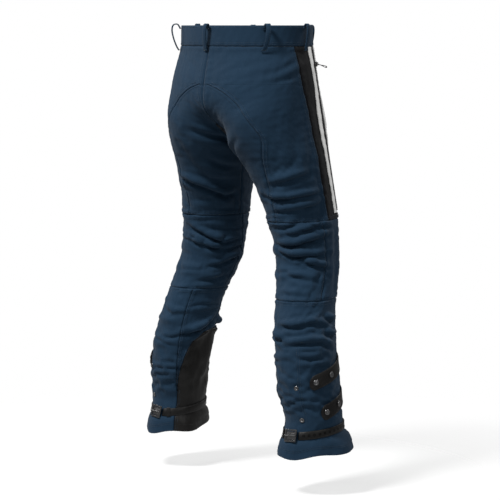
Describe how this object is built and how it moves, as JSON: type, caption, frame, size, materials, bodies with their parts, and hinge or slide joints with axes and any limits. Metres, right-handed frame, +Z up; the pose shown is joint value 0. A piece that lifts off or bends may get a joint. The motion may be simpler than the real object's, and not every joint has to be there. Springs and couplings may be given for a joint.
{
  "type": "riding trousers",
  "caption": "Textile motorcycle riding trousers in worn shape, with thigh vent zips, belt loops, calf straps and buckled ankle belts.",
  "frame": {"origin": "middle of the waist opening, level with the top edge of the waistband", "axes": "+Z up along the wearer, -Y towards the wearer's front, +X towards the wearer's left"},
  "size_m": [0.638, 0.292, 1.027],
  "materials": {
    "navy": "woven textile, matt",
    "black_cloth": "woven textile, matt",
    "reflective": "reflective tape, satin",
    "leather": "smooth grain, satin",
    "steel": "plated",
    "black_metal": "black plated",
    "foam": "perforated foam armour",
    "mesh": "open mesh"
  },
  "bodies": {
    "hips_and_thighs": {"waistband": "navy", "back_panel_left": "navy", "back_panel_right": "navy", "seat_panel_left": "navy", "seat_panel_right": "navy", "front_panel_left": "navy", "front_panel_right": "navy", "vent_band_left": "black_cloth", "vent_band_right": "black_cloth", "rear_stripe_left": "reflective", "rear_stripe_right": "reflective", "front_stripe_left": "reflective", "front_stripe_right": "reflective", "knee_panel_left": "navy", "knee_panel_right": "navy", "lining": "mesh", "vent_zip_chain_left": "black_metal", "vent_zip_chain_right": "black_metal", "vent_stud_left": "steel", "vent_stud_right": "steel", "fly_zip_chain": "black_metal", "fly_flap": "navy", "waist_button": "steel", "belt_loop_centre_back": "navy", "belt_loop_back_left": "navy", "belt_loop_back_right": "navy", "belt_loop_side_left": "navy", "belt_loop_side_right": "navy", "belt_loop_front_left": "navy", "belt_loop_front_right": "navy"},
    "shin_left": {"shin_panel_left": "navy", "calf_guard_left": "leather", "knee_protector_left": "foam", "ankle_belt_left": "leather", "buckle_frame_left": "black_metal"},
    "vent_slider_left": {"vent_zip_slider_left": "black_metal"},
    "vent_puller_left": {"vent_zip_puller_left": "black_metal"},
    "upper_strap_left": {"upper_strap_left": "leather", "upper_strap_snap_tip_left": "black_metal", "upper_strap_snap_inner_left": "black_metal"},
    "lower_strap_left": {"lower_strap_left": "leather", "lower_strap_snap_tip_left": "black_metal", "lower_strap_snap_inner_left": "black_metal"},
    "prong_left": {"buckle_prong_left": "steel"},
    "shin_right": {"shin_panel_right": "navy", "calf_guard_right": "leather", "knee_protector_right": "foam", "ankle_belt_right": "leather", "buckle_frame_right": "black_metal"},
    "vent_slider_right": {"vent_zip_slider_right": "black_metal"},
    "vent_puller_right": {"vent_zip_puller_right": "black_metal"},
    "upper_strap_right": {"upper_strap_right": "leather", "upper_strap_snap_tip_right": "black_metal", "upper_strap_snap_inner_right": "black_metal"},
    "lower_strap_right": {"lower_strap_right": "leather", "lower_strap_snap_tip_right": "black_metal", "lower_strap_snap_inner_right": "black_metal"},
    "prong_right": {"buckle_prong_right": "steel"},
    "fly_slider": {"fly_zip_slider": "black_metal"}
  },
  "joints": [
    {"name": "knee_left", "type": "hinge", "parent": "hips_and_thighs", "child": "shin_left", "pos_m": [0.165, -0.047, -0.56], "axis": [1, 0, 0], "range_deg": [0, 60], "deforming": ["knee_panel_left"]},
    {"name": "vent_zip_slide_left", "type": "slide", "parent": "hips_and_thighs", "child": "vent_slider_left", "axis": [0.0958, -0.1233, -0.9877], "range_m": [-0.026, 0.34084]},
    {"name": "vent_puller_left", "type": "hinge", "parent": "vent_slider_left", "child": "vent_puller_left", "pos_m": [0.17893, -0.06332, -0.09239], "axis": [0.47, 0.8803, -0.0643], "range_deg": [-40, 50]},
    {"name": "upper_strap_open_left", "type": "hinge", "parent": "shin_left", "child": "upper_strap_left", "pos_m": [0.21818, -0.06471, -0.78494], "axis": [0.1848, 0.0343, -0.9822], "range_deg": [0, 80]},
    {"name": "lower_strap_open_left", "type": "hinge", "parent": "shin_left", "child": "lower_strap_left", "pos_m": [0.2318, -0.06498, -0.86425], "axis": [0.1564, -0.0025, -0.9877], "range_deg": [0, 80]},
    {"name": "buckle_prong_swing_left", "type": "hinge", "parent": "shin_left", "child": "prong_left", "pos_m": [0.25147, 0.08761, -0.96777], "axis": [0.085, 0.2497, -0.9646], "range_deg": [0, 100]},
    {"name": "knee_right", "type": "hinge", "parent": "hips_and_thighs", "child": "shin_right", "pos_m": [-0.165, -0.047, -0.56], "axis": [1, 0, 0], "range_deg": [0, 60], "deforming": ["knee_panel_right"]},
    {"name": "vent_zip_slide_right", "type": "slide", "parent": "hips_and_thighs", "child": "vent_slider_right", "axis": [-0.0958, -0.1233, -0.9877], "range_m": [-0.026, 0.34084]},
    {"name": "vent_puller_right", "type": "hinge", "parent": "vent_slider_right", "child": "vent_puller_right", "pos_m": [-0.17893, -0.06332, -0.09239], "axis": [0.47, -0.8803, 0.0643], "range_deg": [-40, 50]},
    {"name": "upper_strap_open_right", "type": "hinge", "parent": "shin_right", "child": "upper_strap_right", "pos_m": [-0.21818, -0.06471, -0.78494], "axis": [0.1848, -0.0343, 0.9822], "range_deg": [0, 80]},
    {"name": "lower_strap_open_right", "type": "hinge", "parent": "shin_right", "child": "lower_strap_right", "pos_m": [-0.2318, -0.06498, -0.86425], "axis": [0.1564, 0.0025, 0.9877], "range_deg": [0, 80]},
    {"name": "buckle_prong_swing_right", "type": "hinge", "parent": "shin_right", "child": "prong_right", "pos_m": [-0.25147, 0.08761, -0.96777], "axis": [0.085, -0.2497, 0.9646], "range_deg": [0, 100]},
    {"name": "fly_zip_slide", "type": "slide", "parent": "hips_and_thighs", "child": "fly_slider", "axis": [-0.0125, 0.0153, -0.9998], "range_m": [0, 0.098]}
  ]
}
